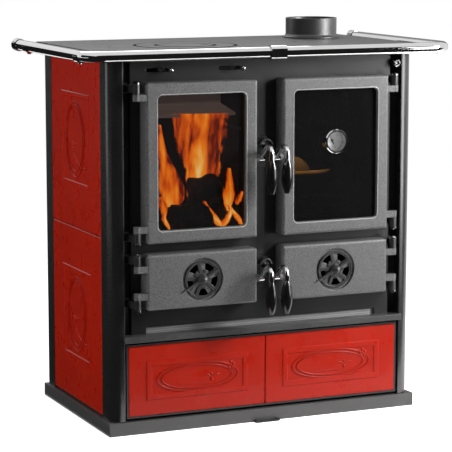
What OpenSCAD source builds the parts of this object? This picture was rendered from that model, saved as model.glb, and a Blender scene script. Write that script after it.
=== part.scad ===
// Wood-burning cook stove: tiled body, cast front with four doors, hob with rings and a chrome rail.
// Millimetres. X runs to the right, Y to the back, Z up. The floor is Z = 0.

/* [Body] */
// Depth of the body from the front posts to the back panel
body_d = 438; // [430:1:480]
// Sheet thickness of posts, side panels and back panel
sheet_t = 2.5; // [2:0.5:3]
// Width of each corner post seen from the front
post_w = 31.5; // [31:0.5:40]
// Depth of the front posts
post_d = 62; // [55:1:75]
// Radius of the front posts' outer corner
post_r = 28; // [15:1:29]
// Depth of the rear posts
rear_post_d = 44; // [30:1:60]

/* [Plinth] */
// Height of the plinth
plinth_h = 30; // [20:1:50]
// How far the plinth stands out beside the body
plinth_side = 8; // [4:1:12]
// How far the plinth stands out in front of the posts
plinth_front = 4; // [2:1:8]
// How far the plinth stands out behind the body
plinth_back = 12; // [4:1:16]
// Wall of the plinth pan
plinth_t = 4; // [3:0.5:6]

/* [Front heights] */
// Height of the drawer front
drawer_front_h = 169; // [150:1:200]
// Gap under and over the drawer front
drawer_gap = 6; // [4:0.5:8]
// Height of the ledge bar over the drawer
ledge_h = 14; // [10:1:18]
// Height of the air grille
grille_h = 15; // [12:1:20]
// Height from the ledge bar to the lower doors
sill_h = 59; // [50:1:80]
// Height of the two lower doors
low_door_h = 126; // [120:1:150]
// Height between the lower and the upper doors
rail_gap_h = 24; // [22:1:30]
// Height of the two upper doors
high_door_h = 358; // [340:1:380]
// Height of the fascia over the upper doors
fascia_h = 58; // [50:1:70]
// Thickness of the hob
hob_t = 10; // [9:0.5:14]

/* [Cast front] */
// Width of the cast front outside each door
front_margin = 23; // [22:0.5:27]
// Width of the dark strip between the cast front and a post
post_gap = 21.5; // [18:0.5:30]
// Thickness of the cast front
front_t = 10; // [8:1:14]
// How far the cast front lies behind the posts' front
front_set = 16; // [12:1:20]
// Width of the mullion between the doors
mullion_w = 63; // [60:1:70]
// How far each door laps over its opening
door_lap = 15; // [12:1:20]

/* [Doors] */
// Width of each door
door_w = 269.5; // [262:0.5:271]
// How far the doors stand in front of the cast front
door_stand = 39; // [36:1:44]
// Edge radius of the doors
door_r = 8; // [4:1:9]
// Thickness of a door's face
door_face_t = 8; // [6:0.5:9]
// Wall around a door's back
door_wall = 8; // [6:0.5:10]
// Width of the frame around the window glass
window_edge = 29; // [26:1:36]
// Corner radius of the windows
window_r = 10; // [6:1:16]
// Bevel around the windows
window_bevel = 2.5; // [1:0.5:3.5]
// Thickness of the window glass
glass_t = 4; // [3:0.5:5]
// Running gap between a door and the cast front
door_gap = 0.6; // [0.4:0.1:1]

/* [Hinges and handles] */
// Distance of the hinge axis outside a door's edge
hinge_out = 19; // [16:1:21]
// Distance of the hinge axis behind the door's face
hinge_back = 9; // [9:0.5:11]
// Diameter of the hinge pins
pin_d = 8; // [6:0.5:9]
// Height of each hinge lug
lug_h = 15; // [12:1:18]
// Distance from a door's top or bottom edge to its lug
lug_inset = 25; // [22:1:30]
// Diameter of a handle's bar
neck_d = 11; // [9:0.5:12]
// How far a handle's grip hangs in front of its pivot
grip_reach = 58; // [54:1:66]
// Length of a grip
grip_len = 76; // [60:1:76]
// Largest diameter of a grip
grip_d = 27; // [22:1:28]
// Diameter of a grip at its ends
grip_end_d = 11; // [10:0.5:12]
// Height of the pivot over an upper door's bottom edge
high_pivot_z = 180; // [150:1:200]
// Height of the pivot over a lower door's bottom edge
low_pivot_z = 55; // [45:1:70]

/* [Air registers] */
// Diameter of the round recess in a lower door
register_d = 98; // [80:1:100]
// Depth of that recess
register_set = 5; // [4.5:0.5:6]
// Gap around the register disc
register_gap = 6; // [2:0.5:7]
// Number of petal openings
petals = 5; // [5:1:7]

/* [Hob] */
// How far the hob stands out beside the body
hob_side = 20; // [14:1:24]
// How far the hob stands out in front of the posts
hob_front = 19; // [12:1:22]
// Height of the hob's folded skirt
skirt_h = 18; // [14:1:22]
// Width of the hob's edge to the left of the cast plate
plate_margin = 63; // [50:1:80]
// Gap between the cast plate and the flue collar
plate_flue_gap = 21.5; // [16:0.5:30]
// Depth of the cast hob plate
plate_d = 300; // [280:1:340]
// Middle of the rings, counted from the cast plate's left edge
ring_margin = 208; // [190:1:230]
// How far the cast plate lies in front of the hob's middle
plate_forward = 12; // [0:1:20]
// Width of the cast plate's edge in front of the rings
ring_front = 7; // [5:1:32]
// Outer diameter of the large ring
ring_d = 236; // [220:1:240]
// Diameter of the centre disc
disc_d = 139; // [120:1:150]
// Depth of the step that carries a ring
ring_step = 5; // [4:0.5:5]
// Outer diameter of the flue collar
flue_d = 125; // [110:1:130]
// Height of the flue collar over the hob
flue_h = 48; // [40:1:70]
// Wall of the flue collar
flue_t = 3; // [2:0.5:4]
// Middle of the flue collar, inside the hob's right edge
flue_margin = 119; // [105:1:130]
// Middle of the flue collar, forward of the body's back
flue_from_back = 97; // [90:1:110]

/* [Rail] */
// Diameter of the rail tube
rail_d = 25; // [20:1:28]
// Wall of the rail tube
rail_t = 1.5; // [1:0.5:2]
// Distance of the side rails' axis outside the hob's edge
rail_side = 46; // [44:1:60]
// Distance of the front rail's axis before the hob's edge
rail_front_out = 37; // [36:1:50]
// Radius of the rail's corners
rail_r = 50; // [40:1:60]
// Height of the rail's axis under the hob's top
rail_drop = 6; // [2:1:8]

/* [Tiles] */
// Thickness of the side tiles
tile_t = 9; // [8:0.5:12]
// Joint between two tiles
tile_joint = 1.5; // [1:0.5:3]
// Bevel at the tiles' edges
tile_bevel = 1.5; // [1:0.5:2]
// Height of the relief on the tiles
relief_h = 2.2; // [1:0.2:3]

/* [Drawer] */
// Thickness of the drawer's tiles
drawer_tile_t = 8; // [7:0.5:10]
// Width of the black frame around the drawer's tiles
drawer_rim = 4; // [3:0.5:6]
// Depth of the drawer box
drawer_d = 370; // [330:1:390]
// Height of the drawer box
drawer_box_h = 130; // [100:1:140]

/* [Hidden] */
$fn = 48;

// Small margin by which a cut runs past the face it opens
cut = 1;
// Clearance between pieces that move past each other
move_gap = 0.3;
// Radial clearance of a pin in its bore
pin_gap = 0.08;

// Heights
base_z = plinth_h;
drawer_z = base_z + drawer_gap;
ledge_z = drawer_z + drawer_front_h + drawer_gap;
sill_z = ledge_z + ledge_h;
low_z = sill_z + sill_h;
high_z = low_z + low_door_h + rail_gap_h;
fascia_z = high_z + high_door_h;
body_top = fascia_z + fascia_h;
hob_top = body_top + hob_t;
skirt_z = hob_top - skirt_h;
rail_z = hob_top - rail_drop;

// Depths, counted from the plinth's front edge
posts_y = plinth_front;
back_y = posts_y + body_d;
plinth_d = plinth_front + body_d + plinth_back;
front_y = posts_y + front_set;
sheet_y = front_y + front_t;
inner_y = sheet_y + sheet_t;
door_y = front_y - door_stand;
door_depth = door_stand - door_gap;
door_back = door_y + door_depth;
hinge_y = door_y + hinge_back;
grip_y = hinge_y - grip_reach;
tiles_y = posts_y + post_d;
rear_posts_y = back_y - rear_post_d;
hob_y = posts_y - hob_front;
hob_back = back_y + sheet_t;
rail_y = hob_y - rail_front_out;
rail_back = hob_back;
flue_y = back_y - flue_from_back;
plate_y = hob_y + (hob_back - hob_y - plate_d) / 2 - plate_forward;

// Widths
door_x = mullion_w / 2;
front_w = mullion_w + 2 * (door_w + front_margin);
bay_w = front_w + 2 * post_gap;
half_w = bay_w / 2 + post_w;
door_mid = door_x + door_w / 2;
hinge_x = door_x + door_w + hinge_out;
hob_half = half_w + hob_side;
rail_x = hob_half + rail_side;
flue_right = hob_half - flue_margin;
plate_x = [-hob_half + plate_margin, flue_right - flue_d / 2 - plate_flue_gap];
ring_x = plate_x[0] + ring_margin;
chamber_inset = 8;
chamber_in = mullion_w / 2 - chamber_inset;
chamber_out = front_w / 2 - chamber_inset;
back_space = 34;
chamber_back = back_y - back_space;

// The model is drawn from the plinth's front edge and then centred on its bounding box
reach_front = grip_y - grip_d / 2;
cap_len = 12;
reach_back = max(rail_back + cap_len, plinth_d);
shift_y = -(reach_front + reach_back) / 2;

module in_place()
    translate([0, shift_y, 0]) children();

// Draws its children as they stand on the right (side = 1) or mirrored to the left (side = -1)
module on_side(side)
    mirror([side < 0 ? 1 : 0, 0, 0]) children();

module both_sides()
    for (side = [-1, 1]) on_side(side) children();

module block(low, high)
    translate(low) cube(high - low);

module rounded_rect(w, h, r) {
    square([w - 2 * r, h], center = true);
    square([w, h - 2 * r], center = true);
    for (x = [-1, 1], y = [-1, 1])
        translate([x * (w / 2 - r), y * (h / 2 - r)]) circle(r);
}

// Extrudes an outline drawn in X and Z, from the depth y towards the front by t
module to_front(y, t)
    translate([0, y, 0]) rotate([90, 0, 0]) linear_extrude(height = t) children();

// A round bar along Y, from the depth y towards the front by len
module peg(y, len, d)
    translate([0, y, 0]) rotate([90, 0, 0]) cylinder(d = d, h = len);

// Five walls open to the front, as for an oven or a fire chamber
module open_box(low, high, t)
    difference() {
        block(low, high);
        block([low.x + t, low.y - cut, low.z + t], [high.x - t, high.y - t, high.z - t]);
    }

// Plinth and body

module plinth()
    color("#202224")
    difference() {
        block([-half_w - plinth_side, 0, 0], [half_w + plinth_side, plinth_d, plinth_h]);
        block([-half_w - plinth_side + plinth_t, plinth_t, -cut],
              [half_w + plinth_side - plinth_t, plinth_d - plinth_t, plinth_h - plinth_t]);
    }

module post_outline(w, d, r)
    intersection() {
        square([w, d]);
        union() {
            translate([0, r]) square([w, d - r]);
            translate([-w, 0]) square([2 * w - r, d]);
            translate([w - r, r]) circle(r, $fn = 96);
        }
    }

module front_posts()
    color("#2b2d2f")
    both_sides()
        translate([half_w - post_w, posts_y, base_z])
            linear_extrude(height = body_top - base_z)
                difference() {
                    post_outline(post_w, post_d, post_r);
                    translate([sheet_t, sheet_t])
                        post_outline(post_w - 2 * sheet_t, post_d - 2 * sheet_t, post_r - sheet_t);
                }

module rear_posts()
    color("#1c1d1f")
    both_sides()
        translate([half_w - post_w, rear_posts_y, base_z])
            linear_extrude(height = body_top - base_z)
                difference() {
                    square([post_w, rear_post_d]);
                    translate([sheet_t, sheet_t])
                        square([post_w - 2 * sheet_t, rear_post_d - 2 * sheet_t]);
                }

module side_panels()
    color("#2f3133")
    both_sides()
        block([half_w - tile_t - sheet_t, tiles_y, base_z],
              [half_w - tile_t, rear_posts_y, body_top]);

module back_panel()
    color("#2f3133")
    block([-bay_w / 2, back_y - sheet_t, base_z], [bay_w / 2, back_y, body_top]);

module face_openings()
    both_sides() {
        block([door_x + door_lap, -cut, high_z + door_lap],
              [door_x + door_w - door_lap, front_w, high_z + high_door_h - door_lap]);
        block([door_x + door_lap, -cut, low_z + door_lap],
              [door_x + door_w - door_lap, front_w, low_z + low_door_h - door_lap]);
    }

sheet_seam = 1;

// Black sheet in strips behind the cast front, seen as a strip beside each post.
// Its seams lie in line with the door openings and with the slot of the air slide.
module sheet_cut(x0, x1, z0, z1)
    block([x0, sheet_y - cut, z0], [x1, inner_y + cut, z1]);

module front_sheet() {
    low = ledge_z - cut;
    high = body_top + cut;
    opening_out = door_x + door_w - door_lap;
    color("#141516")
    difference() {
        block([-bay_w / 2, sheet_y, ledge_z], [bay_w / 2, inner_y, body_top]);
        face_openings();
        sheet_cut(-chamber_out, -chamber_in, air_z - air_bar_h, air_z + air_bar_h);
        for (z = [air_z - air_bar_h - sheet_seam, air_z + air_bar_h])
            sheet_cut(-bay_w / 2 - cut, 0, z, z + sheet_seam);
        both_sides() {
            sheet_cut(door_x + door_lap - sheet_seam, door_x + door_lap, low, high);
            sheet_cut(opening_out, opening_out + sheet_seam, low, high);
        }
        sheet_cut(-sheet_seam / 2, sheet_seam / 2, low, high);
        translate([damper_x, 0, air_z]) peg(inner_y + cut, front_w, damper_rod_d + 2 * pin_gap);
    }
}

// Cast front

air_rise = 25;
air_z = fascia_z + air_rise;
air_slot_len = 55;
air_slot_h = 8;
air_bar_h = 11;
air_stem_d = 6;
air_knob_d = 12;
air_out = 67;
air_in = 28.5;
air_knobs_x = [-door_x - door_w + air_out, -door_x - air_in];
damper_x = front_w / 4 + bay_w / 4;
damper_rod_d = 7;
damper_knob_d = 19;
grille_margin = 36;
grille_w = front_w - 2 * grille_margin;

module air_slot(x)
    translate([x - air_slot_len / 2 + air_slot_h / 2, 0, air_z])
        to_front(sheet_y + cut, front_t + 2 * cut)
            rounded_rect(air_slot_len, air_slot_h, air_slot_h / 2 - 0.01);

module face_frame()
    color("#5a5d60")
    difference() {
        block([-front_w / 2, front_y, sill_z], [front_w / 2, sheet_y, body_top]);
        face_openings();
        block([-grille_w / 2, front_y - cut, sill_z - cut],
              [grille_w / 2, sheet_y + cut, sill_z + grille_h]);
        for (x = air_knobs_x) air_slot(x);
        block([-chamber_out, sheet_y - 1, air_z - air_bar_h],
              [-chamber_in, sheet_y + cut, air_z + air_bar_h]);
    }

ledge_lap = 3.5;
ledge_w = bay_w + 2 * ledge_lap;
ledge_out = 9;

module ledge_bar()
    color("#55585b") {
        block([-ledge_w / 2, posts_y - ledge_out, ledge_z], [ledge_w / 2, posts_y, sill_z]);
        block([-bay_w / 2, posts_y, ledge_z], [bay_w / 2, sheet_y, sill_z]);
    }

mesh_cols = 96;
mesh_t = 1.5;

module grille_mesh() {
    pitch = grille_w / mesh_cols;
    rows = [1 / 6, 1 / 2, 5 / 6];
    color("#3a3c3e")
    translate([0, 0, sill_z])
        to_front(sheet_y - 3, mesh_t)
            difference() {
                translate([-grille_w / 2, 0]) square([grille_w, grille_h]);
                for (i = [0:2], k = [1:mesh_cols - 1])
                    translate([-grille_w / 2 + pitch * (k + (i == 1 ? 0 : -0.25)), grille_h * rows[i]])
                        scale([1.0, 0.9]) circle(d = pitch * 0.72, $fn = 4);
            }
}

// Hob

plate_t = 5;
plate_seat = 8;
edge_t = 6;

module hob_hole(grow)
    block([plate_x[0] + grow, plate_y + grow, body_top - cut],
          [plate_x[1] - grow, plate_y + plate_d - grow, hob_top + cut]);

module hob_pan()
    difference() {
        union() {
            block([-hob_half, hob_y, body_top], [hob_half, hob_back, hob_top]);
            difference() {
                block([-hob_half, hob_y, skirt_z], [hob_half, hob_back, hob_top]);
                block([-hob_half + edge_t, hob_y + edge_t, skirt_z - cut],
                      [hob_half - edge_t, hob_back + cut, hob_top + cut]);
            }
        }
        hob_hole(plate_seat);
        intersection() {
            hob_hole(0);
            block([-hob_half, hob_y, hob_top - plate_t], [hob_half, hob_back, hob_top + cut]);
        }
        translate([flue_right, flue_y, body_top - cut])
            cylinder(d = flue_d - 2 * flue_t, h = hob_t + 2 * cut, $fn = 96);
    }

// The pan is one body of the stove, handed over in parts that lie edge to edge around the cast plate
module hob_part(x)
    color("#2a2c2e")
    intersection() {
        hob_pan();
        block([x[0], hob_y - cut, skirt_z - cut], [x[1], hob_back + cut, hob_top + cut]);
    }

module hob_surround()
    hob_part([plate_x[0] + plate_seat, plate_x[1] - plate_seat]);

module hob_left()
    hob_part([-hob_half - cut, plate_x[0] + plate_seat]);

module hob_right()
    hob_part([plate_x[1] - plate_seat, hob_half + cut]);

// A stepped round opening: wide above the step, narrow below it
module stepped_hole(d, step)
    translate([0, 0, hob_top]) {
        translate([0, 0, -ring_step]) cylinder(d = d, h = ring_step + cut, $fn = 96);
        translate([0, 0, -hob_t - cut]) cylinder(d = d - 2 * step, h = hob_t + 2 * cut, $fn = 96);
    }

// A stepped round plate that rests in such an opening
module stepped_disc(d, step) {
    translate([0, 0, hob_top - ring_step]) cylinder(d = d - 2 * ring_gap, h = ring_step, $fn = 96);
    translate([0, 0, body_top]) cylinder(d = d - 2 * step - 2 * ring_gap, h = hob_t, $fn = 96);
}

ring_gap = 0.6;
ring_seat = 7;
ring_y = plate_y + ring_front + ring_d / 2;
plate_screw_d = 9;
plate_screw_in = 30;

module hob_plate()
    color("#4b4d4f")
    difference() {
        union() {
            block([plate_x[0], plate_y, hob_top - plate_t], [plate_x[1], plate_y + plate_d, hob_top]);
            block([plate_x[0] + plate_seat, plate_y + plate_seat, body_top],
                  [plate_x[1] - plate_seat, plate_y + plate_d - plate_seat, hob_top]);
        }
        translate([ring_x, ring_y, 0]) stepped_hole(ring_d, ring_seat);
        for (x = plate_x + [plate_screw_in, -plate_screw_in])
            translate([x, plate_y + plate_d / 2, hob_top - 2])
                cylinder(d = plate_screw_d, h = 2 + cut);
    }

module ring_outer()
    color("#4b4d4f")
    translate([ring_x, ring_y, 0])
        difference() {
            translate([0, 0, move_gap]) stepped_disc(ring_d, ring_seat);
            translate([0, 0, move_gap]) stepped_hole(disc_d, ring_seat);
        }

module ring_centre()
    color("#4b4d4f")
    translate([ring_x, ring_y, 2 * move_gap])
        difference() {
            stepped_disc(disc_d, ring_seat);
            translate([disc_d / 3, 0, hob_top - 4])
                linear_extrude(height = 4 + cut) rounded_rect(20, 10, 4.9);
        }

flange_w = 8;

module flue_collar()
    color("#38393b")
    translate([flue_right, flue_y, hob_top])
        rotate_extrude($fn = 96)
            polygon([
                [flue_d / 2 - flue_t, 0], [flue_d / 2 + flange_w, 0], [flue_d / 2 + flange_w, 3],
                [flue_d / 2 + 2, 5], [flue_d / 2, 9], [flue_d / 2, flue_h],
                [flue_d / 2 - flue_t, flue_h]
            ]);

// Rail

module tube_outline()
    difference() {
        circle(d = rail_d);
        circle(d = rail_d - 2 * rail_t);
    }

// Front tube with its two bends
module rail_front()
    color("#d8dadc") {
        translate([-rail_x + rail_r, rail_y, rail_z])
            rotate([90, 0, 90]) linear_extrude(height = 2 * (rail_x - rail_r)) tube_outline();
        both_sides()
            translate([rail_x - rail_r, rail_y + rail_r, rail_z])
                rotate([0, 0, -90]) rotate_extrude(angle = 90, $fn = 96)
                    translate([rail_r, 0]) tube_outline();
    }

module rail_sides()
    color("#d8dadc")
    both_sides()
        translate([rail_x, rail_back, rail_z])
            rotate([90, 0, 0]) linear_extrude(height = rail_back - rail_y - rail_r) tube_outline();

collar_len = 18;
collar_rise = 2.5;
collar_gap = 0.05;

// Turned collar with three beads before each end cap
module rail_collars() {
    r = rail_d / 2 + collar_gap;
    bead = collar_len / 6;
    color("#d8dadc")
    both_sides()
        translate([rail_x, rail_back, rail_z])
            rotate([90, 0, 0])
                rotate_extrude()
                    polygon([
                        [r, 0], [r + 1, 0], [r + collar_rise, bead * 0.3], [r + collar_rise, bead],
                        [r + 1, bead * 1.3], [r + 1, bead * 2.4], [r + collar_rise, bead * 2.7],
                        [r + collar_rise, bead * 3.4], [r + 1, bead * 3.7], [r + 1, bead * 4.7],
                        [r + collar_rise, bead * 5], [r + collar_rise, bead * 5.7], [r + 1, bead * 6],
                        [r, bead * 6]
                    ]);
}

module rail_end_caps() {
    r = rail_d / 2;
    color("#d8dadc")
    both_sides()
        translate([rail_x, rail_back, rail_z])
            rotate([-90, 0, 0])
                rotate_extrude()
                    polygon([
                        [0, 0], [r + 1, 0], [r + collar_rise, 1], [r + collar_rise, 4], [r, 4.5], [r, 6],
                        [r * 0.9, cap_len * 0.75], [r * 0.6, cap_len * 0.93], [r * 0.25, cap_len],
                        [0, cap_len]
                    ]);
}

sleeve_len = 38;
sleeve_t = 3;
arm_w = 20;
arm_t = 10;
rear_arm = 85;

// Square-shouldered clamp over the middle of the front rail
module rail_sleeve()
    color("#d8dadc")
    translate([-sleeve_len / 2, rail_y, rail_z])
        rotate([90, 0, 90])
            linear_extrude(height = sleeve_len)
                difference() {
                    rounded_rect(rail_d + 2 * sleeve_t, rail_d + 2 * sleeve_t, rail_d / 2 - 2);
                    circle(d = rail_d + 2 * collar_gap);
                }

bracket_ys = [rail_y + rail_r + arm_w / 2, rail_back - rear_arm];

// A saddle under the rail with an arm to the hob's skirt and a screw from below
module rail_bracket() {
    saddle = rail_d / 2 + sleeve_t;
    translate([rail_x, 0, rail_z])
        rotate([90, 0, 0])
            linear_extrude(height = arm_w, center = true)
                difference() {
                    union() {
                        intersection() {
                            circle(saddle);
                            translate([-saddle, -saddle]) square([2 * saddle, saddle]);
                        }
                        translate([-rail_side, skirt_z - rail_z]) square([rail_side - 4, arm_t]);
                    }
                    circle(d = rail_d + 2 * collar_gap);
                }
    translate([rail_x, 0, rail_z - saddle - 2]) cylinder(d = 9, h = 3);
}

module rail_brackets()
    color("#c9cbcd") {
        both_sides()
            for (y = bracket_ys) translate([0, y, 0]) rail_bracket();
        block([-arm_w / 2, rail_y + rail_d / 2 + sleeve_t, rail_z - arm_t / 2],
              [arm_w / 2, hob_y, rail_z + arm_t / 2]);
    }

// Fire side

shell_t = 6;
grate_z = high_z - 9;
brick_t = 26;
ash_floor_z = low_z + 3;
grate_edge = 19.25;
grate_w = chamber_out - chamber_in - 2 * (shell_t + brick_t + grate_edge);
grate_d = 230;
grate_x = -(chamber_in + chamber_out) / 2;
grate_set = 150;
grate_y = inner_y + grate_set;
smoke_z = fascia_z + 4;

// Cast shell: ash chamber below, fire chamber above, open at the front and at the top
module firebox_shell()
    color("#3a3b3c")
    difference() {
        block([-chamber_out, inner_y, ash_floor_z - shell_t], [-chamber_in, chamber_back, smoke_z]);
        block([-chamber_out + shell_t, inner_y - cut, ash_floor_z],
              [-chamber_in - shell_t, chamber_back - shell_t, grate_z - shell_t]);
        block([-chamber_out + shell_t, inner_y - cut, grate_z],
              [-chamber_in - shell_t, chamber_back - shell_t, smoke_z + cut]);
        block([grate_x - grate_w / 2, grate_y - grate_d / 2, grate_z - shell_t - cut],
              [grate_x + grate_w / 2, grate_y + grate_d / 2, grate_z + cut]);
    }

brick_h = 250;
brick_joint = 2;

// Firebricks along the two sides and the back
module firebox_bricks() {
    low_x = -chamber_out + shell_t;
    high_x = -chamber_in - shell_t;
    back = chamber_back - shell_t;
    side_len = (back - brick_t - inner_y - 2 * brick_joint) / 2;
    back_len = (high_x - low_x - brick_joint) / 2;
    color("#b9a184") {
        for (x = [low_x, high_x - brick_t], k = [0, 1])
            translate([x, inner_y + brick_joint + k * (side_len + brick_joint), grate_z])
                cube([brick_t, side_len, brick_h]);
        for (k = [0, 1])
            translate([low_x + k * (back_len + brick_joint), back - brick_t, grate_z])
                cube([back_len, brick_t, brick_h]);
    }
}

grate_bars = 9;
grate_t = 10;
grate_rest = 8;

module fire_grate() {
    w = grate_w + 2 * grate_rest;
    d = grate_d + 2 * grate_rest;
    slot = (w - 2 * 14) / (2 * grate_bars - 1);
    color("#2c2c2c")
    translate([grate_x - w / 2, grate_y - d / 2, grate_z])
        difference() {
            cube([w, d, grate_t]);
            for (k = [0:grate_bars - 1])
                translate([14 + k * 2 * slot, 16, -cut]) cube([slot, d - 32, grate_t + 2 * cut]);
        }
}

baffle_t = 6;
baffle_drop = 83;
baffle_rise = 15;
baffle_lift = 21;
baffle_set = 55;
baffle_fold = 86;
baffle_side = 9.5;

// One thick plate, bent up over the back of the fire, that turns the smoke forward under the hob
module baffle_plates() {
    low_x = -chamber_out + shell_t;
    high_x = -chamber_in - shell_t - baffle_side;
    front = inner_y + baffle_set;
    fold = front + baffle_fold;
    back = chamber_back - shell_t;
    low_z = fascia_z - baffle_drop;
    fold_z = low_z + baffle_rise;
    high_z = fold_z + baffle_lift;
    color("#6b5d52")
    translate([low_x, 0, 0])
        rotate([90, 0, 90])
            linear_extrude(height = high_x - low_x)
                polygon([[front, low_z], [fold, fold_z], [fold, high_z], [back, high_z],
                         [back, high_z - baffle_t], [fold + baffle_t, high_z - baffle_t],
                         [fold + baffle_t, fold_z - baffle_t], [front, low_z - baffle_t]]);
}

pan_side = 6;
pan_front = 8;
pan_back = 40;

module ash_pan() {
    low = [-door_x - door_w + door_lap + pan_side, inner_y + pan_front, ash_floor_z];
    high = [-door_x - door_lap - pan_side, chamber_back - pan_back, ash_floor_z + pan_h];
    color("#4a4c4e") {
        difference() {
            block(low, high);
            block(low + [pan_t, pan_t, pan_t], [high.x - pan_t, high.y - pan_t, high.z + cut]);
        }
        translate([-door_mid, low.y, ash_floor_z + pan_h / 2])
            difference() {
                block([-30, -12, -5], [30, 0, 5]);
                block([-25, -8, -5 - cut], [25, 0, 5 + cut]);
            }
    }
}

// Oven side

oven_t = 4;
rack_z = high_z + 74;
guide_gap = 90;
guide_w = 8;
guide_h = 4;
guide_z = [rack_z, rack_z + guide_gap, rack_z + 2 * guide_gap];

module oven_box()
    color("#26282a") {
        open_box([chamber_in, inner_y, grate_z - 4], [chamber_out, chamber_back, fascia_z - 6], oven_t);
        for (x = [chamber_in + oven_t, chamber_out - oven_t - guide_w], z = guide_z)
            block([x, inner_y + 20, z - guide_h], [x + guide_w, chamber_back - oven_t, z]);
    }

rack_rod = 4;
rack_rods = 13;

module oven_rack() {
    w = chamber_out - chamber_in - 2 * oven_t - 4;
    d = chamber_back - oven_t - inner_y - 30;
    mid_x = (chamber_in + chamber_out) / 2;
    color("#b9bbbd")
    translate([mid_x - w / 2, inner_y + 26, rack_z + rack_rod / 2]) {
        for (y = [rack_rod / 2, d / 2, d - rack_rod / 2])
            translate([0, y, 0]) rotate([0, 90, 0]) cylinder(d = rack_rod, h = w);
        for (k = [0:rack_rods - 1])
            translate([rack_rod / 2 + k * (w - rack_rod) / (rack_rods - 1), 0, rack_rod * 0.4])
                rotate([-90, 0, 0]) cylinder(d = rack_rod, h = d);
    }
}

module soot_chamber()
    color("#2b2d2f")
    open_box([chamber_in, inner_y, ash_floor_z - shell_t],
             [chamber_out, chamber_back, grate_z - 12], oven_t);

// Drawer bay

shelf_t = 3;

module drawer_shelf()
    color("#2f3133")
    block([-bay_w / 2, inner_y, ledge_z], [bay_w / 2, back_y - sheet_t, ledge_z + shelf_t]);

drawer_set = 2;
drawer_back_t = 4;
drawer_side_gap = 2;
drawer_floor = 14;
runner_w = 45.5;
runner_h = 12;
runner_t = 3;
runner_rise = 60;
slide_w = 20;
slide_h = 8;
drawer_sheet_t = 2;
runner_x = half_w - tile_t - sheet_t - runner_w;
drawer_box_w = 2 * (runner_x - drawer_side_gap);
drawer_box_z = drawer_z + drawer_floor;
drawer_box_y = posts_y + drawer_set + drawer_tile_t + drawer_back_t;
runner_z = drawer_box_z + runner_rise;

// Angle runners on the side panels, under the drawer's side strips
module drawer_runners()
    color("#8d9093")
    both_sides()
        difference() {
            block([runner_x, tiles_y, runner_z - runner_h], [runner_x + runner_w, rear_posts_y, runner_z]);
            block([runner_x - cut, tiles_y - cut, runner_z - runner_h - cut],
                  [half_w - tile_t - sheet_t - runner_t, rear_posts_y + cut, runner_z - runner_t]);
        }

module drawer_box() {
    low = [-drawer_box_w / 2, drawer_box_y, drawer_box_z];
    high = [drawer_box_w / 2, drawer_box_y + drawer_d, drawer_box_z + drawer_box_h];
    color("#3b3d40") {
        difference() {
            block(low, high);
            block(low + drawer_sheet_t * [1, 1, 1],
                  [high.x - drawer_sheet_t, high.y - drawer_sheet_t, high.z + cut]);
        }
        both_sides()
            block([high.x, tiles_y, runner_z + move_gap],
                  [high.x + slide_w, high.y, runner_z + move_gap + slide_h]);
    }
}

drawer_clear = 4.5;
drawer_w = bay_w - 2 * drawer_clear;
drawer_face_y = posts_y + drawer_set;

// Sheet pan that frames the two tiles
module drawer_front()
    color("#17181a")
    difference() {
        block([-drawer_w / 2, drawer_face_y + 1, drawer_z],
              [drawer_w / 2, drawer_box_y, drawer_z + drawer_front_h]);
        block([-drawer_w / 2 + drawer_rim, drawer_face_y - cut, drawer_z + drawer_rim],
              [drawer_w / 2 - drawer_rim, drawer_face_y + drawer_tile_t,
               drawer_z + drawer_front_h - drawer_rim]);
    }

// Tiles, drawn flat: X and Y across the face, Z up to the front

// A block of height t whose four sides lean in by s, or out if s is below zero
module sloped_block(w, h, t, s)
    intersection() {
        rotate([90, 0, 0]) linear_extrude(height = h + 4 * abs(s), center = true)
            polygon([[-w / 2, 0], [w / 2, 0], [w / 2 - s, t], [-w / 2 + s, t]]);
        rotate([90, 0, 90]) linear_extrude(height = w + 4 * abs(s), center = true)
            polygon([[-h / 2, 0], [h / 2, 0], [h / 2 - s, t], [-h / 2 + s, t]]);
    }

module bevelled_slab(w, h, t, bevel) {
    translate([-w / 2, -h / 2, 0]) cube([w, h, t - bevel]);
    translate([0, 0, t - bevel]) sloped_block(w, h, bevel, bevel);
}

// Raised rectangular moulding with sloped sides
module relief_frame(w, h, band) {
    slope = relief_h * 0.8;
    difference() {
        sloped_block(w, h, relief_h, slope);
        translate([0, 0, -relief_h])
            sloped_block(w - 2 * band - 2 * slope, h - 2 * band - 2 * slope, 3 * relief_h, -3 * slope);
    }
}

relief_band = 14;
ridge_w = 4;
stem_w = 3;
leaf_d = 20;
flower_d = 22;

// A rounded ridge along an arc of radius r, from angle a to angle b
module ridge(r, a, b, band)
    rotate([0, 0, a]) rotate_extrude(angle = b - a, $fn = 96)
        translate([r, 0])
            intersection() {
                circle(d = band, $fn = 24);
                translate([-band, -0.4]) square([2 * band, band]);
            }

module oval(a, b)
    polygon([for (k = [0:59]) [a * cos(k * 6), b * sin(k * 6)]]);

// Oval ridge in two steps: a and b are the half axes of its outer edge
module oval_ridge(a, b, band)
    for (level = [[0, 0.55], [band * 0.22, 1]])
        translate([0, 0, -0.4])
            linear_extrude(height = relief_h * level[1] + 0.4)
                difference() {
                    oval(a - level[0], b - level[0]);
                    oval(a - band + level[0], b - band + level[0]);
                }

// Five round petals around a button
module relief_flower(d) {
    for (k = [0:4])
        rotate([0, 0, k * 72 + 18]) translate([d / 3.2, 0, -d / 16]) sphere(d = d / 2.6, $fn = 24);
    sphere(d = d / 4, $fn = 24);
}

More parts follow.
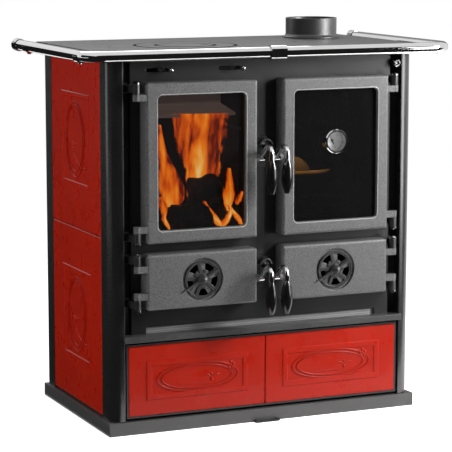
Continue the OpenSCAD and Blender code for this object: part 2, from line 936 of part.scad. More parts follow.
// Two curled leaves and a bud over a knot at the end of a stem
module relief_leaves(d) {
    sphere(d = d * 0.34, $fn = 24);
    translate([-d * 0.62, -d * 0.14]) ridge(d * 0.64, 14, 105, stem_w);
    translate([d * 0.62, -d * 0.1]) ridge(d * 0.64, 62, 168, stem_w);
    translate([-d * 0.05, d * 0.62, -d * 0.03]) sphere(d = d * 0.3, $fn = 24);
}

module tile_relief_wide(w, h) {
    relief_frame(w, h, relief_band);
    oval_ridge(w * 0.405, h * 0.385, ridge_w);
    translate([-w * 0.008, 0]) oval_ridge(w * 0.35, h * 0.31, ridge_w * 0.8);
    translate([-w * 0.39, h * 1.28]) ridge(h * 1.64, -92, -66, stem_w);
    translate([-w * 0.02, -h * 3.02]) ridge(h * 2.84, 82.5, 98, stem_w * 0.87);
    translate([w * 0.14, -h * 0.11]) relief_leaves(leaf_d);
    translate([w * 0.33, h * 0.2]) relief_flower(flower_d);
}

module tile_relief_tall(w, h) {
    relief_frame(w, h, relief_band * 0.86);
    oval_ridge(w * 0.337, h * 0.41, ridge_w);
    translate([0, h * 0.012]) oval_ridge(w * 0.288, h * 0.358, ridge_w * 0.8);
    translate([-w * 0.31, h * 0.14]) ridge(w * 0.485, -96, -44, stem_w);
    translate([w * 0.05, -h * 0.09]) relief_leaves(leaf_d);
    translate([w * 0.3, h * 0.12]) relief_flower(flower_d * 0.92);
}

side_tile_w = rear_posts_y - tiles_y - 2 * tile_joint;
tile_foot = 5;
side_tile_h = (body_top - base_z - tile_foot - tile_joint) / 2;

module side_tiles()
    for (k = [0, 1])
        translate([half_w - tile_t, tiles_y + tile_joint + side_tile_w / 2,
                   base_z + tile_foot + side_tile_h / 2 + k * (side_tile_h + tile_joint)])
            rotate([90, 0, 90]) {
                bevelled_slab(side_tile_w, side_tile_h, tile_t, tile_bevel);
                translate([0, 0, tile_t]) tile_relief_tall(side_tile_w * 0.577, side_tile_h * 0.535);
            }

module side_tiles_left()
    color("#a81c12") on_side(-1) side_tiles();

module side_tiles_right()
    color("#a81c12") side_tiles();

module drawer_tile(side) {
    w = drawer_w / 2 - drawer_rim - tile_joint / 2;
    h = drawer_front_h - 2 * drawer_rim;
    color("#c0180c")
    translate([side * (tile_joint / 2 + w / 2), drawer_face_y + drawer_tile_t,
               drawer_z + drawer_rim + h / 2])
        rotate([90, 0, 0]) {
            bevelled_slab(w - 0.4, h - 0.4, drawer_tile_t, tile_bevel);
            translate([0, 0, drawer_tile_t]) tile_relief_wide(w * 0.745, h * 0.565);
        }
}

module drawer_tile_left()
    drawer_tile(-1);

module drawer_tile_right()
    drawer_tile(1);

// Doors, drawn on the right

lug_r = hinge_back;

// Outline of a door's front corner: r is the corner's radius
module front_rounded(w, depth, r)
    intersection() {
        square([w, depth]);
        union() {
            translate([0, r]) square([w, depth]);
            translate([r, -cut]) square([w - 2 * r, depth]);
            for (x = [r, w - r]) translate([x, r]) circle(r);
        }
    }

// Cast door shell with rounded front edges and a hollow back
module door_shell(h)
    difference() {
        intersection() {
            to_front(door_back, door_depth)
                translate([door_mid, h / 2]) rounded_rect(door_w, h, door_r);
            translate([door_x, door_y, 0])
                linear_extrude(height = h) front_rounded(door_w, door_depth, edge_r);
            translate([door_x, door_y, h])
                rotate([0, 90, 0]) linear_extrude(height = door_w)
                    mirror([0, 0]) front_rounded(h, door_depth, edge_r);
        }
        block([door_x + door_wall, door_y + door_face_t, door_wall],
              [door_x + door_w - door_wall, door_back + cut, h - door_wall]);
    }

edge_r = door_r - 2;

function lug_zs(h) = [lug_inset, h - lug_inset - lug_h];

module door_lug(z)
    translate([0, 0, z]) {
        block([door_x + door_w - door_r, door_y + 1, 0], [hinge_x, hinge_y + lug_r - 1, lug_h]);
        translate([hinge_x, hinge_y, 0]) cylinder(r = lug_r - 0.5, h = lug_h);
    }

pivot_pin_d = 6;
ear_t = 6;
lever_t = 12;
lever_x = door_x - ear_t - move_gap - lever_t / 2;

// Bore of the handle's pin, through the ear and into the door's edge
module pivot_bore(pivot)
    translate([door_x - ear_t - cut, hinge_y, pivot])
        rotate([0, 90, 0]) cylinder(d = pivot_pin_d + 2 * pin_gap, h = cut + ear_t + 6);

module hinge_bore(h)
    translate([hinge_x, hinge_y, lug_inset - cut])
        cylinder(d = pin_d + 2 * pin_gap, h = h - 2 * lug_inset + 2 * cut);

// Shell with the hinge lugs on its outer edge and the handle's ear on its inner edge
module door_body(h, pivot)
    difference() {
        union() {
            door_shell(h);
            for (z = lug_zs(h)) door_lug(z);
            translate([door_x - ear_t, hinge_y, pivot])
                rotate([0, 90, 0]) cylinder(d = 17, h = ear_t + door_r - 1);
        }
        pivot_bore(pivot);
        hinge_bore(h);
    }

// A hole with rounded corners that widens by s on each side over a depth s
module flared_window(w, h, s) {
    for (x = [-1, 1], z = [-1, 1])
        translate([x * (w / 2 - window_r), z * (h / 2 - window_r), 0])
            cylinder(r1 = window_r, r2 = window_r + s, h = s);
    rotate([90, 0, 0]) linear_extrude(height = h - 2 * window_r, center = true)
        polygon([[-w / 2, 0], [w / 2, 0], [w / 2 + s, s], [-w / 2 - s, s]]);
    rotate([90, 0, 90]) linear_extrude(height = w - 2 * window_r, center = true)
        polygon([[-h / 2, 0], [h / 2, 0], [h / 2 + s, s], [-h / 2 - s, s]]);
}

module window_door(h, pivot) {
    w = door_w - 2 * window_edge;
    difference() {
        door_body(h, pivot);
        to_front(door_y + door_face_t + cut, door_face_t + 2 * cut)
            translate([door_mid, h / 2]) rounded_rect(w, h - 2 * window_edge, window_r);
        translate([door_mid, door_y + window_bevel, h / 2])
            rotate([90, 0, 0]) flared_window(w, h - 2 * window_edge, window_bevel + 0.2);
    }
}

glass_lap = 10;

module window_glass(h)
    to_front(door_y + door_face_t + glass_t, glass_t)
        translate([door_mid, h / 2])
            square([door_w - 2 * window_edge + 2 * glass_lap, h - 2 * window_edge + 2 * glass_lap],
                   center = true);

module glass_frame(h)
    to_front(door_y + door_face_t + glass_t + 3, 3)
        translate([door_mid, h / 2])
            difference() {
                square([door_w - 2 * door_wall - 1, h - 2 * door_wall - 1], center = true);
                square([door_w - 2 * window_edge + 4, h - 2 * window_edge + 4], center = true);
            }

// Handles, drawn on the right with the pivot at the origin of Y and Z

neck_rise = 38;
neck_bend = 16;
ferrule_h = 12;
neck_down = 1;

// Bent bar that leaves the hub, rises to the front and turns down to the grip
module swan_neck() {
    bend_y = -grip_reach + neck_bend;
    start_y = bend_y + neck_bend * sin(neck_rise);
    len = -start_y / cos(neck_rise);
    bend_z = len * sin(neck_rise) - neck_bend * cos(neck_rise);
    rotate([90 - neck_rise, 0, 0]) cylinder(d1 = neck_d + 0.6, d2 = neck_d + 0.3, h = len + 0.1);
    translate([0, bend_y, bend_z])
        rotate([90, 0, 90])
            rotate([0, 0, 90 - neck_rise])
                rotate_extrude(angle = 90 + neck_rise) translate([neck_bend, 0]) circle(d = neck_d);
    translate([0, -grip_reach, neck_down]) cylinder(d = neck_d + 0.3, h = bend_z - neck_down + 0.1);
}

// Turned grip, thick in the middle, with an arc for its outline
module grip() {
    half = grip_len / 2;
    rise = (grip_d - grip_end_d) / 2;
    arc = (half * half + rise * rise) / (2 * rise);
    steps = 20;
    heights = [for (k = [0:steps]) grip_len * k / steps - half];
    side = [for (z = heights) [grip_d / 2 - arc + sqrt(arc * arc - z * z), z]];
    translate([0, -grip_reach, -half])
        rotate_extrude() polygon(concat([[0, -half]], side, [[0, half]]));
}

module handle(pivot)
    translate([lever_x, hinge_y, pivot]) {
        rotate([0, 90, 0]) cylinder(d = 17, h = lever_t, center = true);
        swan_neck();
        rotate([-128, 0, 0]) cylinder(d1 = 10, d2 = 7, h = 15);
        translate([0, -grip_reach, -1]) cylinder(d = grip_end_d + 2, h = ferrule_h + 1);
        grip();
        rotate([0, 90, 0]) cylinder(d = pivot_pin_d, h = lever_t / 2 + move_gap + ear_t + 5);
        translate([-lever_t / 2 - 3, 0, 0]) rotate([0, 90, 0]) cylinder(d = 11, h = 4, $fn = 6);
    }

module firebox_door()
    color("#4a4d50") translate([0, 0, high_z]) on_side(-1) window_door(high_door_h, high_pivot_z);

module firebox_glass()
    color("#3a3a40", 0.35) translate([0, 0, high_z]) on_side(-1) window_glass(high_door_h);

module firebox_glass_frame()
    color("#303234") translate([0, 0, high_z]) on_side(-1) glass_frame(high_door_h);

module firebox_handle()
    color("#d8dadc") translate([0, 0, high_z]) on_side(-1) handle(high_pivot_z);

module oven_door()
    color("#5f6265") translate([0, 0, high_z]) window_door(high_door_h, high_pivot_z);

dial_d = 46;
dial_right = 3;
dial_drop = 149;
dial_x = door_mid + dial_right;
dial_z = high_door_h - dial_drop;
dial_set = 24;
bezel_d = 56;
case_t = 1.5;
spindle_d = 2;

module at_dial(y)
    translate([dial_x, y, high_z + dial_z]) rotate([90, 0, 0]) children();

module oven_glass()
    color("#1c1d20", 0.35)
    difference() {
        translate([0, 0, high_z]) window_glass(high_door_h);
        at_dial(door_back) cylinder(d = dial_d + 2 * case_t + 0.2, h = door_depth);
    }

module oven_glass_frame()
    color("#303234") translate([0, 0, high_z]) glass_frame(high_door_h);

// Deep round case that passes through the glass, with a bezel in front of it
module thermometer_case()
    color("#d8dadc")
    at_dial(door_y + door_face_t + dial_set)
        rotate_extrude()
            polygon([
                [0, 0], [dial_d / 2 + case_t, 0], [dial_d / 2 + case_t, dial_set],
                [bezel_d / 2, dial_set], [bezel_d / 2, dial_set + 2], [bezel_d / 2 - 2, dial_set + 4],
                [dial_d / 2, dial_set + 4], [dial_d / 2, case_t], [spindle_d / 2, case_t],
                [spindle_d / 2, case_t + 3.5], [0, case_t + 3.5]
            ]);

module thermometer_dial()
    color("#f2f2f0")
    at_dial(door_y + door_face_t + dial_set - case_t)
        difference() {
            cylinder(d = dial_d - 0.4, h = 1);
            translate([0, 0, -cut]) cylinder(d = spindle_d + 2 * pin_gap, h = 1 + 2 * cut);
        }

needle_turn = 118;

module thermometer_needle()
    color("#202020")
    at_dial(door_y + door_face_t + dial_set - case_t - 1 - move_gap)
        rotate([0, 0, needle_turn])
            difference() {
                union() {
                    cylinder(d = 6, h = 2);
                    linear_extrude(height = 1)
                        polygon([[-dial_d * 0.2, -1.6], [dial_d * 0.38, -0.4],
                                 [dial_d * 0.38, 0.4], [-dial_d * 0.2, 1.6]]);
                }
                translate([0, 0, -cut]) cylinder(d = spindle_d + 2 * pin_gap, h = 2 + 2 * cut);
            }

module oven_handle()
    color("#d8dadc") translate([0, 0, high_z]) handle(high_pivot_z);

// Lower doors and their air registers

disc_t = 3;
hub_d = 35;
cone_r = 12;
cone_h = 18;
arm_d = 9;
arm_out = 7;
spoke_w = 8;
register_rim = 6;
hole_turn = -20;
disc_turn = -4;

// One petal opening: a ring sector with a round notch at its inner end
module petal(inner, outer, width) {
    half = 180 / petals;
    difference() {
        intersection() {
            difference() {
                circle(outer, $fn = 96);
                circle(inner);
            }
            polygon([[0, 0], 2 * outer * [cos(half), sin(half)], 2 * outer * [1, 0],
                     2 * outer * [cos(half), -sin(half)]]);
        }
        for (a = [-half, half]) rotate(a) translate([0, -width / 2]) square([2 * outer, width]);
        translate([inner + 1, 0]) circle(d = width, $fn = 24);
    }
}

module at_register(y, side)
    translate([side * door_mid, y, low_z + low_door_h / 2]) rotate([90, 0, 0]) children();

module register_door(side, pivot)
    difference() {
        translate([0, 0, low_z]) on_side(side) door_body(low_door_h, pivot);
        at_register(door_y + register_set, side) cylinder(d = register_d, h = register_set + cut, $fn = 96);
        at_register(door_y + door_face_t + cut, side)
            linear_extrude(height = door_face_t + 2 * cut)
                for (k = [0:petals - 1])
                    rotate(k * 360 / petals + hole_turn)
                        petal(hub_d / 2 - 2, register_d / 2 - register_gap - register_rim + 1,
                              1.6 * spoke_w);
        at_register(door_y + door_face_t + cut, side)
            cylinder(d = pivot_pin_d + 2 * pin_gap, h = door_face_t);
    }

// Round shutter with petal openings, a domed hub and a pointer that reaches past the rim
module register(side) {
    d = register_d - 2 * register_gap;
    at_register(door_y + register_set - move_gap, side) {
        difference() {
            cylinder(d = d, h = disc_t, $fn = 96);
            translate([0, 0, -cut])
                linear_extrude(height = disc_t + 2 * cut)
                    for (k = [0:petals - 1])
                        rotate(k * 360 / petals + disc_turn)
                            petal(hub_d / 2, d / 2 - register_rim, spoke_w);
        }
        difference() {
            cylinder(d = d, h = disc_t + 1, $fn = 96);
            translate([0, 0, -cut]) cylinder(d = d - 5, h = disc_t + 1 + 2 * cut, $fn = 96);
        }
        rotate_extrude()
            polygon([[0, 0], [cone_r, 0], [cone_r, disc_t + cone_h * 0.12],
                     [cone_r * 0.83, disc_t + cone_h * 0.45], [cone_r * 0.5, disc_t + cone_h * 0.83],
                     [0, disc_t + cone_h]]);
        translate([0, 0, disc_t + arm_d * 0.56]) {
            rotate([0, 90, 207]) cylinder(d1 = arm_d, d2 = arm_d * 0.4, h = register_d / 2 + arm_out);
            rotate([0, 90, 30]) cylinder(d1 = arm_d * 0.56, d2 = arm_d * 0.83, h = d / 2 - arm_d * 0.56);
        }
        translate([0, 0, -door_face_t + register_set - 2]) cylinder(d = pivot_pin_d, h = door_face_t);
    }
}

module ash_door()
    color("#4a4d50") register_door(-1, low_pivot_z);

module ash_register()
    color("#7b7e80") register(-1);

module ash_handle()
    color("#d8dadc") translate([0, 0, low_z]) on_side(-1) handle(low_pivot_z);

module soot_door()
    color("#5f6265") register_door(1, low_pivot_z);

module soot_register()
    color("#7b7e80") register(1);

module soot_handle()
    color("#d8dadc") translate([0, 0, low_z]) handle(low_pivot_z);

// Hinges and latches on the body

bracket_h = 23;
eye_r = 8;
foot_x = front_w / 2 + 5;

// Heights at which the brackets' eyes stand: under the bottom lug and over the top lug
function eye_zs(z, h) = [
    z + lug_inset - move_gap - bracket_h,
    z + h - lug_inset + move_gap
];

eyes = concat(eye_zs(low_z, low_door_h), eye_zs(high_z, high_door_h));

module hinge_bracket(z)
    difference() {
        union() {
            translate([hinge_x, hinge_y, z]) cylinder(r = eye_r, h = bracket_h);
            translate([hinge_x, hinge_y, z + 3])
                linear_extrude(height = bracket_h - 6)
                    polygon([[-4, 6], [6, -4], [foot_x - hinge_x + 8, sheet_y - hinge_y - 4],
                             [foot_x - hinge_x + 8, sheet_y - hinge_y - 2],
                             [foot_x - hinge_x - 2, sheet_y - hinge_y - 2]]);
            block([front_w / 2 + 0.5, sheet_y - 4, z], [bay_w / 2 - 0.5, sheet_y, z + bracket_h]);
        }
        translate([hinge_x, hinge_y, z - cut]) cylinder(d = pin_d + 2 * pin_gap, h = bracket_h + 2 * cut);
    }

module hinge_brackets()
    color("#6e7174")
    both_sides()
        for (z = eyes) hinge_bracket(z);

pin_head_h = 6;

// Each pin runs through one eye into the lug beside it, and has a domed head
module hinge_pin(z, up) {
    len = bracket_h + lug_h - 1;
    translate([hinge_x, hinge_y, up ? z - lug_h + 1 : z]) {
        cylinder(d = pin_d, h = len);
        translate([0, 0, up ? len : -pin_head_h])
            rotate_extrude()
                polygon(up
                    ? [[0, 0], [eye_r, 0], [eye_r, 3], [5, pin_head_h - 0.5], [2, pin_head_h],
                        [0, pin_head_h]]
                    : [[0, 0], [2, 0], [5, 0.5], [eye_r, 3], [eye_r, pin_head_h], [0, pin_head_h]]);
    }
}

module hinge_pins()
    color("#d8dadc")
    both_sides()
        for (k = [0:3]) hinge_pin(eyes[k], k % 2 == 1);

keeper_w = 34;
keeper_t = 3;
keeper_low = 26;
keeper_high = 46;
hood_z = 24;
hood_len = 18;
stud_len = 22;
stud_d = 9;

// Cast catch on the mullion: a foot plate under an arched hood with a rounded lip
module keeper(z)
    translate([0, 0, z]) {
        block([-keeper_w / 2, front_y - keeper_t, -keeper_low], [keeper_w / 2, front_y, keeper_high]);
        translate([0, front_y, hood_z])
            rotate([90, 0, 0]) {
                linear_extrude(height = hood_len)
                    intersection() {
                        difference() {
                            circle(keeper_w / 2);
                            circle(keeper_w / 2 - 3.5);
                        }
                        translate([-keeper_w, keeper_w * 0.1]) square(2 * keeper_w);
                    }
                translate([0, 0, hood_len])
                    rotate([0, 0, 12])
                        rotate_extrude(angle = 156) translate([keeper_w / 2 - 1.5, 0]) circle(2.2, $fn = 24);
            }
        translate([0, 0, hood_z - 2]) peg(front_y, stud_len, stud_d);
        translate([0, front_y - stud_len, hood_z - 2]) sphere(d = stud_d + 2);
    }

module latch_keepers()
    color("#9a9da0") {
        keeper(high_z + high_pivot_z);
        keeper(low_z + low_pivot_z);
    }

// Pull rods and slides

damper_set = 235;
damper_lap = 20;
damper_w = 70;
damper_d = 90;
damper_t = 3;
air_knob_out = 22;
air_bar_end = 20;
damper_back = inner_y + damper_set;

// Chrome knob, rod and the sliding plate of the draught damper
module damper_rod()
    color("#d8dadc") {
        translate([damper_x, 0, air_z]) {
            peg(damper_back + damper_lap, damper_back + damper_lap - front_y, damper_rod_d);
            translate([0, front_y, 0])
                rotate([90, 0, 0])
                    rotate_extrude()
                        polygon([
                            [0, 0], [damper_knob_d / 2 - 2, 0], [damper_knob_d / 2, 3],
                            [damper_knob_d / 2, 15], [damper_knob_d / 2 - 2, 17], [damper_knob_d / 4, 17],
                            [damper_knob_d / 4, 12], [0, 12]
                        ]);
        }
        block([damper_x - damper_w, damper_back, air_z - damper_t / 2],
              [damper_x + damper_rod_d / 2 + 0.5, damper_back + damper_d, air_z + damper_t / 2]);
    }

// One bar behind the cast front with two stems and ball knobs
module air_slide()
    color("#d8dadc") {
        block([min(air_knobs_x) - air_bar_end, sheet_y - 0.7, air_z - air_bar_h + 3],
              [max(air_knobs_x) + air_bar_end, sheet_y + 2, air_z + air_bar_h - 3]);
        for (x = air_knobs_x)
            translate([x, 0, air_z]) {
                peg(sheet_y, front_t + air_knob_out, air_stem_d);
                translate([0, front_y - air_knob_out, 0]) sphere(d = air_knob_d);
            }
    }

in_place() plinth();
in_place() front_posts();
in_place() rear_posts();
in_place() side_panels();
in_place() side_tiles_left();
in_place() side_tiles_right();
in_place() back_panel();
in_place() front_sheet();
in_place() face_frame();
in_place() ledge_bar();
in_place() grille_mesh();
in_place() hob_surround();
in_place() hob_left();
in_place() hob_right();
in_place() hob_plate();
in_place() ring_outer();
in_place() ring_centre();
in_place() flue_collar();
in_place() rail_front();
in_place() rail_sides();
in_place() rail_collars();
in_place() rail_end_caps();
in_place() rail_sleeve();
in_place() rail_brackets();
in_place() firebox_shell();
in_place() firebox_bricks();
in_place() fire_grate();
in_place() baffle_plates();
in_place() ash_pan();
in_place() oven_box();
in_place() oven_rack();
in_place() soot_chamber();
in_place() drawer_shelf();
in_place() drawer_runners();
in_place() latch_keepers();
in_place() hinge_brackets();
in_place() hinge_pins();
in_place() damper_rod();
in_place() air_slide();
in_place() drawer_box();
in_place() drawer_front();
in_place() drawer_tile_left();
in_place() drawer_tile_right();
in_place() firebox_door();
in_place() firebox_glass();
in_place() firebox_glass_frame();
in_place() firebox_handle();
in_place() oven_door();
in_place() oven_glass();
in_place() oven_glass_frame();
in_place() thermometer_case();
in_place() thermometer_dial();
in_place() thermometer_needle();
in_place() oven_handle();
in_place() ash_door();
in_place() ash_register();
in_place() ash_handle();
in_place() soot_door();
in_place() soot_register();
in_place() soot_handle();
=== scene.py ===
import bpy, bmesh, math
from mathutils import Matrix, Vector, noise


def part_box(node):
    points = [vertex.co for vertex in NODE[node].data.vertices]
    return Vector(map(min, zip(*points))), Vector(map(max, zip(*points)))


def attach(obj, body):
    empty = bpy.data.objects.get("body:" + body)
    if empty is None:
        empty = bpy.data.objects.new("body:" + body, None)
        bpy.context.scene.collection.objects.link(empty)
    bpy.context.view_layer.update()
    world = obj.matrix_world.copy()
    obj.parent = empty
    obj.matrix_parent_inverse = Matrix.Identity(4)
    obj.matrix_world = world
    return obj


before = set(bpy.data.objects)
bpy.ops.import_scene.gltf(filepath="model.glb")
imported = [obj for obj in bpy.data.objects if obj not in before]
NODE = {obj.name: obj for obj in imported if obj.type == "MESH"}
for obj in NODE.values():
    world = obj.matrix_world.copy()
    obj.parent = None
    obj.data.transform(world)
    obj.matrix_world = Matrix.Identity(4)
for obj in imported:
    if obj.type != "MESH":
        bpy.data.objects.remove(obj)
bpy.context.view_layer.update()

# Materials


class Mat:
    """A material under construction: a Principled shader and short calls for the nodes that feed it."""

    def __init__(self, name, **values):
        self.mat = bpy.data.materials.new(name)
        self.mat.use_nodes = True
        self.tree = self.mat.node_tree
        self.bsdf = self.tree.nodes["Principled BSDF"]
        self.out = self.tree.nodes["Material Output"]
        self.coords = None
        for key, value in values.items():
            self.bsdf.inputs[key.replace("_", " ")].default_value = value

    def node(self, kind, **values):
        n = self.tree.nodes.new("ShaderNode" + kind)
        for key, value in values.items():
            if hasattr(n, key):
                setattr(n, key, value)
            else:
                n.inputs[key.replace("_", " ")].default_value = value
        return n

    def link(self, a, b):
        self.tree.links.new(a, b)

    def place(self, stretch=(1, 1, 1)):
        if self.coords is None:
            self.coords = self.node("TexCoord")
        m = self.node("Mapping")
        m.inputs["Scale"].default_value = stretch
        self.link(self.coords.outputs["Object"], m.inputs["Vector"])
        return m.outputs["Vector"]

    def axes(self):
        """The place on the object as three values, X, Y and Z."""
        split = self.node("SeparateXYZ")
        self.link(self.place(), split.inputs["Vector"])
        return split.outputs["X"], split.outputs["Y"], split.outputs["Z"]

    def noise(self, scale, detail=3, rough=0.5, stretch=(1, 1, 1), distort=0.0):
        n = self.node("TexNoise", Scale=scale, Detail=detail, Roughness=rough, Distortion=distort)
        self.link(self.place(stretch), n.inputs["Vector"])
        return n.outputs["Fac"]

    def ramp(self, fac, stops):
        r = self.node("ValToRGB")
        while len(r.color_ramp.elements) < len(stops):
            r.color_ramp.elements.new(0.5)
        for e, (pos, col) in zip(r.color_ramp.elements, stops):
            e.position = pos
            e.color = (*col, 1) if len(col) == 3 else col
        self.link(fac, r.inputs["Fac"])
        return r.outputs["Color"]

    def spread(self, fac, low, high, a=0.0, b=1.0):
        """A value that goes from a to b while fac goes from low to high, and stays level outside."""
        m = self.node("MapRange")
        m.inputs["From Min"].default_value = low
        m.inputs["From Max"].default_value = high
        m.inputs["To Min"].default_value = a
        m.inputs["To Max"].default_value = b
        self.link(fac, m.inputs["Value"])
        return m.outputs["Result"]

    def calc(self, operation, *values):
        """A Math node on numbers and sockets, in the order of its inputs."""
        n = self.node("Math", operation=operation)
        for socket, value in zip(n.inputs, values):
            if isinstance(value, (int, float)):
                socket.default_value = value
            else:
                self.link(value, socket)
        return n.outputs["Value"]

    def mix(self, fac, a, b):
        """Shader a where fac is 0 and shader b where it is 1. fac is a number or a socket."""
        n = self.node("MixShader")
        if isinstance(fac, float):
            n.inputs["Fac"].default_value = fac
        else:
            self.link(fac, n.inputs["Fac"])
        self.link(a, n.inputs[1])
        self.link(b, n.inputs[2])
        return n.outputs["Shader"]

    def tint(self, pattern, dark, light, low=0.3, high=0.7):
        """A base colour that goes from dark to light with a pattern."""
        return self.to(self.ramp(pattern, [(low, dark), (high, light)]), "Base Color")

    def gloss(self, pattern, smooth, rough):
        """A roughness that wanders between two values with a pattern."""
        return self.to(self.spread(pattern, 0.3, 0.7, smooth, rough), "Roughness")

    def bump(self, *layers, soften=0.0):
        """Each layer is a height, its strength and its depth in metres. soften rounds the edges' shading."""
        normal = None
        if soften:
            normal = self.node("Bevel", samples=4, Radius=soften).outputs["Normal"]
        for height, strength, depth in layers:
            b = self.node("Bump", Strength=strength, Distance=depth)
            self.link(height, b.inputs["Height"])
            if normal is not None:
                self.link(normal, b.inputs["Normal"])
            normal = b.outputs["Normal"]
        self.link(normal, self.bsdf.inputs["Normal"])
        return self

    def to(self, value, name):
        self.link(value, self.bsdf.inputs[name])
        return self


def grey(v):
    return (v, v, v, 1)


def cast_iron(name, tone, rough=0.5, grain=0.3, soften=0.002):
    m = Mat(name, Metallic=0.15, Specular_IOR_Level=0.5)
    fine, broad = m.noise(620, 2, 0.6), m.noise(240, 3, 0.6)
    cloud = m.noise(9, 4, 0.6)
    m.tint(m.noise(430, 2, 0.6), grey(tone * 0.6), grey(tone * 1.4), 0.36, 0.64)
    m.gloss(cloud, rough - 0.06, rough + 0.06)
    return m.bump((broad, grain * 0.6, 0.0006), (fine, grain, 0.0004), soften=soften).mat


SEAM_SHADE_REACH = 0.0035  # the painted shade line along a ring's seam reaches this far to either side of it


def hob_iron(name, tone, rough):
    """Ground iron with a dark line of painted shade along the seams of the two rings, standing for the shade
    in their gaps.
    """
    m = Mat(name, Metallic=0.15, Specular_IOR_Level=0.5)
    lo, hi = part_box("ring_outer")
    middle = (lo + hi) / 2
    flat = m.node("VectorMath", operation="MULTIPLY")
    flat.inputs[1].default_value = (1, 1, 0)
    m.link(m.place(), flat.inputs[0])
    reach = m.node("VectorMath", operation="DISTANCE")
    reach.inputs[1].default_value = (middle.x, middle.y, 0)
    m.link(flat.outputs["Vector"], reach.inputs[0])
    seams = []
    for ring in ("ring_outer", "ring_centre"):
        lo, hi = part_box(ring)
        seams.append(m.calc("COMPARE", reach.outputs["Value"], (hi.x - lo.x) / 2, SEAM_SHADE_REACH))
    # The mask named soot is painted shade: a near-black, duller line standing for the shade in the gaps round
    # the rings.
    soot = m.calc("MAXIMUM", *seams)
    dust_and_seam_shade = m.calc("MULTIPLY", m.noise(14, 4, 0.6), m.calc("SUBTRACT", 1, soot))
    stops = [(0.0, grey(0.002)), (0.3, grey(tone * 0.8)), (0.7, grey(tone * 1.2))]
    m.to(m.ramp(dust_and_seam_shade, stops), "Base Color")
    m.to(m.calc("MULTIPLY_ADD", soot, -0.5, 0.5), "Specular IOR Level")
    m.gloss(m.noise(9, 4, 0.6), rough - 0.06, rough + 0.06)
    return m.bump((m.noise(620, 2, 0.6), 0.12, 0.0004), soften=0.001).mat


def enamel(name, tone, rough=0.3, metallic=0.2, peel=0.04):
    m = Mat(name, Metallic=metallic)
    m.tint(m.noise(14, 4, 0.6), grey(tone * 0.93), grey(tone * 1.07))
    m.gloss(m.noise(40, 4, 0.6), rough - 0.04, rough + 0.05)
    return m.bump((m.noise(420, 2), peel, 0.0004)).mat


def lacquer(name, tone, rough):
    """Black stove lacquer: almost no colour of its own, with a clear soft sheen that runs along the bends."""
    m = Mat(name, Specular_IOR_Level=0.9)
    m.tint(m.noise(14, 4, 0.6), grey(tone * 0.9), grey(tone * 1.1))
    m.gloss(m.noise(30, 4, 0.6), rough - 0.03, rough + 0.03)
    return m.bump((m.noise(420, 2), 0.03, 0.0004), soften=0.003).mat


BAFFLE_FOLD = (0.724, 0.730)  # heights in metres between which the baffle's painted firelight dims


def firelit(name, tone, glow):
    """A rough plate over the fire with the fire's light on it painted in as emission: a dull painted glow,
    strongest low down.
    """
    m = Mat(name, Roughness=0.8, Emission_Strength=1.0)
    z = m.axes()[2]
    painted_firelight = m.calc("MULTIPLY", m.spread(z, *BAFFLE_FOLD, 1.0, 0.45),
                  m.spread(m.noise(18, 4, 0.6), 0.3, 0.7, 0.8, 1.15))
    m.tint(m.noise(260, 3, 0.6), grey(tone * 0.8), grey(tone))
    m.to(m.ramp(painted_firelight, [(0.0, (0, 0, 0)), (1.0, glow)]), "Emission Color")
    return m.bump((m.noise(400, 3), 0.3, 0.0006)).mat


def glaze(name, tone):
    m = Mat(name, Specular_IOR_Level=0.2, Coat_Weight=0.08, Coat_Roughness=0.1, Coat_IOR=1.45)
    r, g, b = tone
    dark, light = (r * 0.92, g * 0.85, b * 0.85), (r * 1.06, g * 1.1, b * 1.1)
    m.tint(m.noise(7, 5, 0.6), dark, light, 0.25, 0.75)
    m.gloss(m.noise(30, 3), 0.25, 0.36)
    return m.bump((m.noise(12, 2), 0.015, 0.002), soften=0.0012).mat


def polished(name, tone, rough=0.05):
    m = Mat(name, Metallic=1.0)
    m.tint(m.noise(30, 3), grey(tone * 0.96), grey(tone))
    m.gloss(m.noise(90, 4), rough * 0.7, rough * 1.5)
    return m.bump((m.noise(60, 2), 0.01, 0.0004)).mat


GRIP_FRONT = -0.241  # a handle's grip hangs in front of this depth, in metres


def handle(name, top):
    """Chromed neck with a black lacquered grip, which hangs in front of the door below a height."""
    m = Mat(name, Coat_Weight=0.15, Coat_Roughness=0.08)
    _, y, z = m.axes()
    grip = m.calc("MULTIPLY", m.spread(y, GRIP_FRONT - 0.0002, GRIP_FRONT + 0.0002, 1, 0),
                  m.spread(z, top - 0.0002, top + 0.0002, 1, 0))
    m.tint(grip, grey(0.66), grey(0.006), 0.4, 0.6)
    m.to(m.spread(grip, 0, 1, 1, 0), "Metallic")
    m.to(m.spread(grip, 0, 1, 0.06, 0.2), "Roughness")
    return m.bump((m.noise(60, 2), 0.015, 0.0004)).mat


def window(name, tint):
    """Thin pane: seen through with a tint, with a sharp reflection on top and a trace of smoke film."""
    m = Mat(name)
    clear = m.node("BsdfTransparent", Color=(*tint, 1))
    shine = m.node("BsdfGlossy", Roughness=0.0)
    film = m.node("BsdfDiffuse", Color=(0.05, 0.048, 0.05, 1))
    edge = m.node("Fresnel", IOR=1.5)
    streak = m.node("Bump", Strength=0.02, Distance=0.0005)
    m.link(m.noise(35, 3), streak.inputs["Height"])
    m.link(streak.outputs["Normal"], shine.inputs["Normal"])
    glass = m.mix(edge.outputs["Fac"], clear.outputs["BSDF"], shine.outputs["BSDF"])
    m.link(m.mix(0.12, glass, film.outputs["BSDF"]), m.out.inputs["Surface"])
    return m.mat


